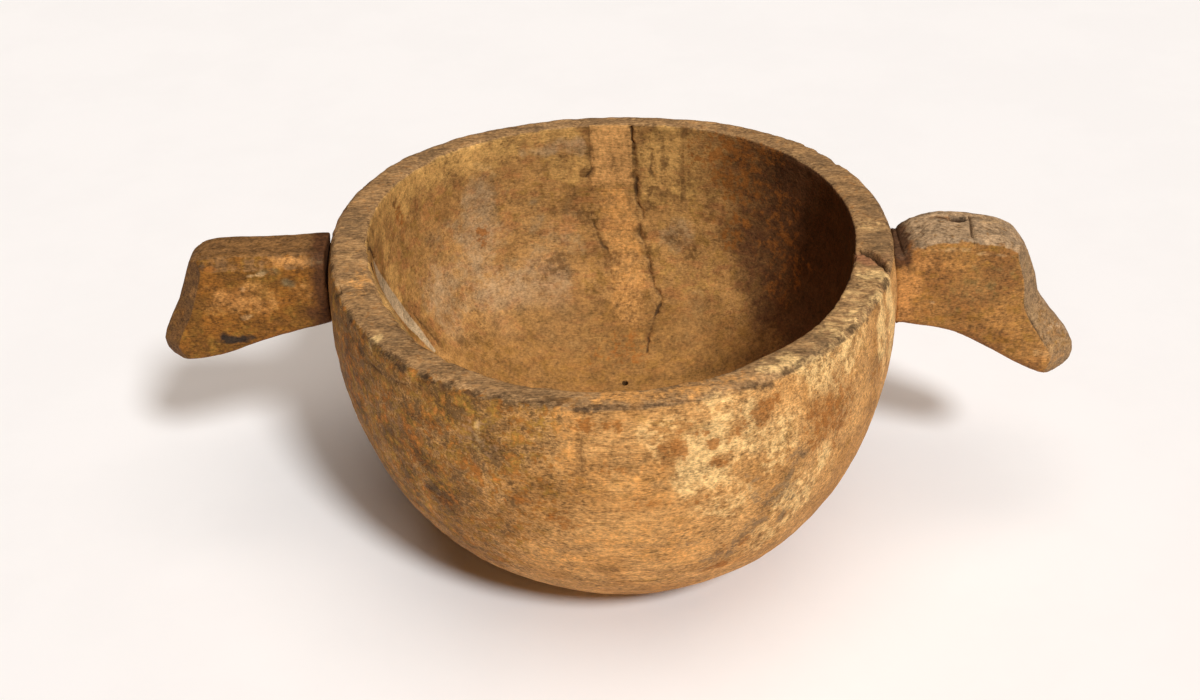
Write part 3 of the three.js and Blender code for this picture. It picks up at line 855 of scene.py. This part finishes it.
# For each handle: the front and its deeper tone, the top and its deeper tone, and the far end
LEFT_COLOURS = (
    (0.275, 0.102, 0.014), (0.195, 0.078, 0.012), (0.255, 0.120, 0.038), (0.160, 0.076, 0.026),
    (0.145, 0.068, 0.024),
)
RIGHT_COLOURS = (
    (0.390, 0.180, 0.048), (0.290, 0.125, 0.034), (0.440, 0.275, 0.145), (0.280, 0.180, 0.098),
    (0.290, 0.178, 0.088),
)


def bowl_material():
    # Each noise: a bump's size in mm, detail, roughness, shift and distortion
    paint = Paint("bowl_wood")
    broad = paint.noise(17, 3, 0.6)
    flecks = paint.noise(3.4, 4, 0.65, 3)
    specks = paint.noise(1.7, 3, 0.6, 5)
    fine = paint.noise(0.9, 3, 0.6, 7)
    grit = paint.noise((1.3, 0.36, 0.36), 2, 0.6, 9)
    blotches = paint.noise((9, 6, 6), 2, 0.5, 29, 0.5)
    lines = paint.noise((26, 0.8, 0.8), 3, 0.6, 11, 0.6)
    fibres = paint.noise((5, 0.45, 0.45), 3, 0.6, 13)
    long_flecks = paint.noise((9, 3.2, 3.2), 4, 0.62, 17, 0.4)
    pores = paint.noise((2.6, 0.9, 0.9), 3, 0.6, 23)

    shell = paint.mix(TAN, TAN_DEEP, paint.ramp(broad, 0.40, 0.62))
    shell = paint.mix(shell, LINE, paint.ramp(lines, 0.50, 0.64, 0.0, 0.5))
    shell = paint.mix(shell, OLIVE, paint.ramp(long_flecks, 0.54, 0.70, 0.0, 0.4))
    hollow = paint.mix(HOLLOW_TAN, HOLLOW_BROWN, paint.ramp(broad, 0.44, 0.68, 0.0, 0.8))
    hollow = paint.mix(hollow, OLIVE, paint.ramp(flecks, 0.46, 0.62, 0.0, 0.6))
    hollow = paint.mix(hollow, HOLLOW_RED, paint.ramp(long_flecks, 0.50, 0.62, 0.0, 0.55))
    rim = paint.mix(RIM_TAN, RIM_BROWN, paint.ramp(long_flecks, 0.42, 0.60, 0.0, 0.75))
    rim = paint.mix(rim, RIM_FIBRE, paint.ramp(fibres, 0.52, 0.66, 0.0, 0.55))
    rim = paint.mix(rim, LINE, paint.ramp(specks, 0.54, 0.68, 0.0, 0.6))
    colour = paint.mix(shell, hollow, paint.mask("inside"))
    colour = paint.mix(colour, rim, paint.mask("rim"))

    broken = paint.ramp(paint.maths("ADD", flecks, specks), 0.80, 1.20)
    streaky = paint.maths("MULTIPLY", paint.maths("ADD", long_flecks, lines), 0.5)
    mottled = paint.mix(BROWN, OLIVE, paint.ramp(long_flecks, 0.44, 0.56))
    mottled = paint.mix(mottled, RED_BROWN, paint.ramp(specks, 0.50, 0.62, 0.0, 0.7))
    # brown: a mottled stain, also laid over the left side as painted shade
    for name, tint, grain, strength, push in (
        # ochre: a stain, brightened as painted light on the left inner wall
        ("brown", mottled, broken, 0.92, 1.15), ("ochre", OCHRE_STAIN_AND_LIGHT, flecks, 0.85, 1.8),
        ("pale_grey", PALE_GREY, flecks, 0.8, 1.6), ("orange", ORANGE, broken, 0.85, 0.5),
        ("deep", DEEP, flecks, 0.68, 1.2), ("strip", STRIP, fine, 0.85, 0.6),
        # facet: fresh wood, with painted light on its face
        ("facet", FACET_WOOD_AND_LIGHT, fine, 0.9, 0.5), ("cream", CREAM, broken, 0.72, 0.5),
        ("mottle", MOTTLE, broken, 0.8, 0.8),
        # dark: a dark red stain, with painted shade on the hollow's right wall
        ("dark", DARK_RED_STAIN_AND_SHADE, streaky, 0.9, 1.0), ("red", RED_BROWN, broken, 0.85, 0.95),
        ("grey", GREY_BROWN, specks, 0.8, 4.2), ("torn", TORN, fibres, 0.9, 1.6),
        # Here the left handle's joint gets stain and painted shade, and the rim's edge and lip get dirt
        # with a painted shadow under the rim
        ("joint", LINE, flecks, 0.5, 1.6), ("rim_grime_and_shade", GRIME_AND_SHADE, specks, 0.85, 2.4),
    ):
        colour = paint.mix(colour, tint, paint.flecked(paint.mask(name), grain, strength, push))
    colour = paint.mix(colour, MOTTLE, paint.ramp(pores, 0.60, 0.70, 0.0, 0.5))
    smoother = paint.ramp(paint.mask("inside"), 0.0, 1.0, 2.0, 1.1)
    rougher = paint.ramp(paint.mask("brown"), 0.0, 0.8, 0.6, 4.2)
    speckled = paint.ramp(paint.mask("brown"), 0.0, 0.8, 1.0, 3.2)
    blotched = paint.ramp(paint.mask("brown"), 0.0, 0.8, 1.0, 2.0)
    colour = paint.weathered(
        colour, ((grit, smoother), (fine, 1.3), (specks, speckled), (flecks, rougher), (blotches, blotched))
    )
    # Painted shade in the cracks, the beetle hole and the shadow lines under the rim
    colour = paint.mix(colour, CREVICE_SHADE, paint.ramp(paint.mask("crack"), 0.15, 0.75, 0.0, 0.85))

    height = paint.maths("ADD", paint.maths("MULTIPLY", fine, 0.5), paint.maths("MULTIPLY", lines, 0.8))
    height = paint.maths("ADD", height, paint.maths("MULTIPLY", flecks, 0.6))
    furry = paint.maths("MULTIPLY", paint.maths("MULTIPLY", fibres, paint.mask("rim")), 1.5)
    height = paint.maths("ADD", height, furry)
    return paint.finish(colour, height, 0.2, paint.ramp(flecks, 0.3, 0.7, 0.72, 0.9))


def handle_material(name, front, front_deep, top, top_deep, end):
    """A handle's wood: a stained front, a pitted top, and a far end with a colour of its own."""
    paint = Paint(name)
    broad = paint.noise(11, 3, 0.6, 2)
    flecks = paint.noise(2.6, 4, 0.65, 5)
    specks = paint.noise(1.4, 3, 0.6, 7)
    fine = paint.noise(0.8, 3, 0.6, 9)
    grit = paint.noise((1.0, 0.36, 0.36), 2, 0.6, 11)
    lines = paint.noise((20, 1.0, 1.0), 3, 0.6, 15, 0.8)
    pits = paint.noise((2.4, 1.2, 1.2), 3, 0.6, 19)
    long_flecks = paint.noise((6, 2.4, 2.4), 4, 0.62, 21, 0.4)

    face = paint.mix(front, front_deep, paint.ramp(broad, 0.43, 0.57))
    face = paint.mix(face, OLIVE, paint.ramp(flecks, 0.48, 0.64, 0.0, 0.65))
    face = paint.mix(face, RED_BROWN, paint.ramp(specks, 0.48, 0.66, 0.0, 0.3))
    face = paint.mix(face, LINE, paint.ramp(lines, 0.54, 0.72, 0.0, 0.35))
    weathered = paint.mix(top, top_deep, paint.ramp(long_flecks, 0.42, 0.62))
    weathered = paint.mix(weathered, GRIME_AND_SHADE, paint.ramp(pits, 0.60, 0.72, 0.0, 0.5))
    colour = paint.mix(face, weathered, paint.flecked(paint.mask("top"), specks, 1.0, 2.4))
    for mask, tint, grain, strength in (
        ("end", end, long_flecks, 0.85), ("brown", BROWN, flecks, 0.8),
        ("orange", HANDLE_ORANGE, flecks, 0.75), ("pale", RIM_FIBRE, flecks, 0.85),
        # The first here: painted shade and dark stain where the handle meets the wall
        ("root", ROOT_SHADE_AND_STAIN, flecks, 0.9), ("grey", HANDLE_GREY, flecks, 0.75),
        # dark: a slot mark on the left handle, and painted shade in the right handle's pit
        ("red", RED_BROWN, flecks, 0.8), ("dark", HANDLE_DARK, flecks, 0.95),
    ):
        colour = paint.mix(colour, tint, paint.flecked(paint.mask(mask), grain, strength))
    colour = paint.weathered(colour, ((grit, 1.8), (fine, 1.5), (specks, 1.3), (flecks, 1.2)))
    # Painted shade in the cracks and in the pit
    colour = paint.mix(colour, CREVICE_SHADE, paint.ramp(paint.mask("crack"), 0.2, 0.9, 0.0, 0.9))
    height = paint.maths("ADD", paint.maths("MULTIPLY", fine, 0.5), paint.maths("MULTIPLY", flecks, 0.8))
    height = paint.maths("ADD", height, paint.maths("MULTIPLY", lines, 0.5))
    rough_top = paint.maths("MULTIPLY", paint.maths("MULTIPLY", pits, paint.mask("top")), 1.4)
    height = paint.maths("ADD", height, rough_top)
    return paint.finish(colour, height, 0.16, paint.ramp(flecks, 0.3, 0.7, 0.70, 0.88))


def wedge_material():
    paint = Paint("wedge_wood")
    lines = paint.noise((9, 0.5, 0.5), 3, 0.6, 4)
    flecks = paint.noise(1.6, 3, 0.6, 8)
    colour = paint.mix(WEDGE_PALE, WEDGE_LINE, paint.ramp(lines, 0.40, 0.64))
    colour = paint.mix(colour, OLIVE, paint.ramp(flecks, 0.5, 0.75, 0.0, 0.5))
    return paint.finish(colour, lines, 0.12, paint.ramp(flecks, 0.3, 0.7, 0.72, 0.9))


# The handles and their wedges

# For each handle: patches as (pixel, half width, half height, turn, strength), and cracks as the bowl's
LEFT_MARKS = {
    "dark": (
        ((238, 339), 4.4, 1.3, 0, 1.0), ((227, 338), 1.8, 1.6, 0, 1.0), ((250, 337), 2.4, 0.8, 8, 0.7),
        ((199, 268), 1.2, 1.4, 0, 0.6),
    ),
    "grey": (((290, 283), 2.6, 1.6, 0, 0.9), ((262, 272), 4, 1.0, 0, 0.5), ((310, 262), 3, 1.2, 0, 0.4)),
    "red": (((208, 269), 3, 0.9, 0, 0.8), ((234, 297), 3, 3.4, 0, 0.5), ((265, 315), 3, 1.5, 0, 0.5)),
    "brown": (
        ((196, 320), 2, 7, -15, 0.6), ((300, 322), 6, 2, 10, 0.6), ((225, 255), 9, 1.5, 0, 0.4),
        ((190, 345), 5, 3, 0, 0.4),
    ),
    "orange": (((240, 300), 9, 5, 0, 0.7), ((285, 262), 9, 1.7, 0, 0.8), ((305, 290), 4, 4, 0, 0.4)),
    "pale": (
        ((258, 275), 2.6, 0.5, 8, 0.8), ((247, 317), 2.4, 1.1, 0, 0.6), ((242, 289), 0.9, 0.9, 0, 0.6),
    ),
    # Painted shade and dark stain where the handle meets the wall
    "root": (((323, 285), 2.6, 9, 0, 1.0), ((316, 312), 4, 3, 12, 0.8), ((327, 262), 1.6, 6, 0, 1.0)),
}
LEFT_CRACKS = ((((200, 268), (216, 264)), 0.3, 0.25, 0.3),)
RIGHT_MARKS = {
    "dark": (
        # The first patch: painted shade in the pit
        ((957, 218), 2.6, 2.0, 0, 1.0), ((1022, 257), 2.2, 2.6, 0, 0.35), ((1062, 352), 1.6, 2.0, 0, 0.3),
    ),
    "grey": (((1005, 270), 9, 3, 0, 0.35), ((980, 290), 9, 5, 0, 0.35), ((945, 305), 5, 3, 0, 0.3)),
    "red": (((912, 247), 1.6, 3, 0, 0.8), ((945, 217), 3, 1, 0, 0.6), ((925, 312), 3, 1, 0, 0.5)),
    "brown": (
        ((960, 318), 7, 2.2, -16, 0.6), ((1000, 338), 7, 2, -28, 0.6), ((935, 300), 2.6, 3, 0, 0.35),
    ),
    "orange": (
        ((908, 292), 3.4, 8, 0, 1.0), ((918, 262), 4, 3, 0, 0.8), ((905, 312), 3, 2.4, 0, 0.8),
        ((945, 265), 6, 3, 0, 0.5), ((1000, 320), 6, 4, -20, 0.4), ((1045, 360), 5, 2.4, 0, 0.5),
    ),
    "pale": (
        ((1004, 256), 3, 0.6, -8, 0.7), ((950, 250), 5, 0.8, 0, 0.5), ((984, 254), 5, 0.7, -8, 0.5),
        ((933, 303), 0.9, 0.6, 0, 0.8), ((1046, 350), 4, 2.4, 0, 0.4), ((990, 222), 6, 3, 0, 0.35),
    ),
    # Painted shade and dark stain where the handle meets the wall
    "root": (((905, 240), 2.2, 2.2, 0, 0.9), ((900, 235), 2.4, 2.2, 0, 0.9)),
}
RIGHT_CRACKS = (
    (((969, 215), (971, 225), (972, 235), (975, 244)), 0.45, 0.7, 0.3),
    (((934, 216), (945, 217), (953, 218)), 0.6, 0.6, 0.4),
    (((922, 224), (922, 246)), 0.4, 0.25, 0.3),
    (((1024, 300), (1031, 320), (1043, 341)), 0.5, 0.4, 0.4),
    (((924, 248), (945, 247), (972, 251), (1000, 257), (1016, 262)), 0.3, 0.12, 1.6),
)
PIT_PIXEL, PIT_RADIUS, PIT_DEPTH = (957, 218), 1.9, 2.2
SHOULDER_GROWTH = 0.5  # mm, on the right handle only: about 0.2 mm more than the gap to the wall
WALL_FROM = 70  # mm from the middle: distances along a handle start here
# Node, side of X, marks, cracks, how rough the top is, colours, and the seed of its noises
HANDLES = (
    ("left_handle", -1, LEFT_MARKS, LEFT_CRACKS, 0.6, LEFT_COLOURS, 700),
    ("right_handle", 1, RIGHT_MARKS, RIGHT_CRACKS, 1.0, RIGHT_COLOURS, 900),
)
WEDGE_SEED = 1100


def handle_relief(place, top, top_rough, seed):
    """How far a handle's old surface stands off the plain form, in mm."""
    relief = 0.22 * noise(place / 11, seed) + 0.08 * noise(place / 5, seed + 1)
    relief += 0.05 * layered(place / 2.2, seed + 2, 2)
    bumps = 0.14 * layered(place / 2.4, seed + 3, 2)
    bumps += 0.10 * noise(place / np.array([7.0, 1.6, 1.6]), seed + 4)
    relief += top * top_rough * bumps
    return relief


def cut_handle(place, tree, relief, cracks, seed):
    """Cuts the cracks into the relief, and returns the mask of what is dark in them."""
    sway = np.stack([noise(place / 1.7, seed + 30), noise(place / 1.7, seed + 31), np.zeros(len(place))], 1)
    crack = np.zeros(len(place))
    for pixels, half, depth, ragged in cracks:
        gap, at = along_line(place + 0.3 * ragged * sway, seen_line(tree, pixels))
        wide = half * (0.6 + 0.4 * np.sin(math.pi * np.clip(at, 0.05, 0.95)))
        deep = np.exp(-((gap / wide) ** 2))
        relief -= depth * deep
        crack = np.maximum(crack, deep * min(1.0, 0.35 + depth))
    return crack


def cut_pit(place, tree, relief, crack):
    """Cuts the right handle's pit into the relief, and returns the dark mask with painted shade in the pit
    added.
    """
    pit, _ = seen_at(tree, PIT_PIXEL)
    gap = np.linalg.norm((place - pit) / np.array([1.25, 1.0, 1.0]), axis=1)
    relief -= PIT_DEPTH * smooth(PIT_RADIUS * 1.25, PIT_RADIUS * 0.4, gap)
    return np.maximum(crack, smooth(PIT_RADIUS * 1.1, PIT_RADIUS * 0.5, gap))


def root_shade_and_stain(place, beyond, side):
    """Painted shade and dark stain where a handle leaves the wall. On the right it is only near the top."""
    if side > 0:
        return smooth(9.0, 6.5, beyond) * smooth(78, 82, place[:, 2])
    return smooth(13.5, 7.5, beyond)


def make_handle(node, side, marks, cracks, top_rough, seed):
    tree = surface(node)
    sheet = fine_sheet(node, HANDLE_VOXEL, SMOOTH_TURNS)
    place, out = sheet.place, sheet.out
    beyond = np.abs(place[:, 0]) - WALL_FROM
    top = smooth(0.3, 0.85, out[:, 2] + 0.3 * layered(place / 2.6, seed + 6, 2))
    end = smooth(0.3, 0.7, out[:, 0] * side)
    relief = handle_relief(place, top, top_rough, seed)
    crack = cut_handle(place, tree, relief, cracks, seed)
    if side > 0:
        crack = cut_pit(place, tree, relief, crack)
    masks = {
        name: patches(sheet, tree, rows, seed + 40 * (n + 2))
        for n, (name, rows) in enumerate(marks.items())
    }
    lift(masks, "root", root_shade_and_stain(place, beyond, side))
    masks.update(top=top, end=end * (1 - top), crack=crack)
    grown = relief * smooth(4.0, 8.0, beyond)
    if side > 0:
        grown += SHOULDER_GROWTH * smooth(-0.3, -0.7, out[:, 0]) * (beyond > 1)
    sheet.move(place + out * grown[:, None], masks)
    return sheet.piece


def make_wedge(node, seed):
    sheet = fine_sheet(node, WEDGE_VOXEL, WEDGE_SMOOTH_TURNS)
    split = -0.06 - 0.06 * noise(sheet.place / np.array([6.0, 0.7, 0.7]), seed)
    sheet.move(sheet.place + sheet.out * split[:, None], {})
    return sheet.piece


# Floor and light

FLOOR_SIZE = 9.0  # m
FLOOR_CELLS = 24
PAPER = (0.985, 0.945, 0.922)
PAPER_SHADE = 0.985  # the darker grain's share of the paper's colour
PAPER_SPECULAR = 0.2
KEY_FROM = np.array([0.34, -0.68, 0.75])
KEY_STRENGTH, KEY_ANGLE = 2.35, 10.0  # W per square metre, and degrees across
KEY_COLOUR = (0.985, 1.035, 1.075)
FILL_FROM = np.array([0.10, -0.12, 0.98])  # a broad soft light overhead
FILL_STRENGTH, FILL_ANGLE = 1.44, 54.0
FILL_COLOUR = (1.0, 0.91, 0.83)
SKY_STRENGTH = 0.035
SKY_COLOUR = (1.0, 0.90, 0.80)


def make_floor():
    tool = bmesh.new()
    bmesh.ops.create_grid(tool, x_segments=FLOOR_CELLS, y_segments=FLOOR_CELLS, size=FLOOR_SIZE / 2)
    mesh = bpy.data.meshes.new("floor")
    tool.to_mesh(mesh)
    tool.free()
    floor = bpy.data.objects.new("floor", mesh)
    bpy.context.scene.collection.objects.link(floor)
    paint = Paint("paper")
    grain = paint.noise(60, 4, 0.6)
    shade = tuple(PAPER_SHADE * c for c in PAPER)
    colour = paint.mix(PAPER, shade, paint.ramp(grain, 0.4, 0.6))
    paper = paint.finish(colour, paint.noise(1.2, 2), 0.02, 0.9, PAPER_SPECULAR)
    floor.data.materials.append(paper)


def make_lamps():
    for name, strength, angle, colour, source in (
        ("key", KEY_STRENGTH, KEY_ANGLE, KEY_COLOUR, KEY_FROM),
        ("fill", FILL_STRENGTH, FILL_ANGLE, FILL_COLOUR, FILL_FROM),
    ):
        data = bpy.data.lights.new(name, "SUN")
        data.energy = strength
        data.angle = math.radians(angle)
        data.color = colour
        lamp = bpy.data.objects.new(name, data)
        lamp.rotation_euler = Vector(source.tolist()).to_track_quat("Z", "Y").to_euler()
        bpy.context.scene.collection.objects.link(lamp)


def make_sky():
    """A weak sky, which the camera itself sees as paper."""
    world = bpy.data.worlds.new("studio")
    world.use_nodes = True
    bpy.context.scene.world = world
    tree = world.node_tree
    sky = tree.nodes["Background"]
    sky.inputs["Color"].default_value = (*SKY_COLOUR, 1)
    sky.inputs["Strength"].default_value = SKY_STRENGTH
    behind = tree.nodes.new("ShaderNodeBackground")
    behind.inputs["Color"].default_value = (*PAPER, 1)
    rays = tree.nodes.new("ShaderNodeLightPath")
    choose = tree.nodes.new("ShaderNodeMixShader")
    tree.links.new(rays.outputs["Is Camera Ray"], choose.inputs[0])
    tree.links.new(sky.outputs[0], choose.inputs[1])
    tree.links.new(behind.outputs[0], choose.inputs[2])
    tree.links.new(choose.outputs[0], tree.nodes["World Output"].inputs["Surface"])


def main():
    bpy.context.scene.view_settings.view_transform = "Standard"
    make_camera()
    make_lamps()
    make_sky()
    make_floor()
    bowl = make_bowl()
    finish_piece(bowl, "bowl", bowl_material())
    for node, side, marks, cracks, top_rough, colours, seed in HANDLES:
        handle = make_handle(node, side, marks, cracks, top_rough, seed)
        finish_piece(handle, node, handle_material(node + "_wood", *colours))
    wedge_wood = wedge_material()
    for number, node in enumerate(("left_handle_wedge", "right_handle_wedge")):
        finish_piece(make_wedge(node, WEDGE_SEED + number), node, wedge_wood)


main()
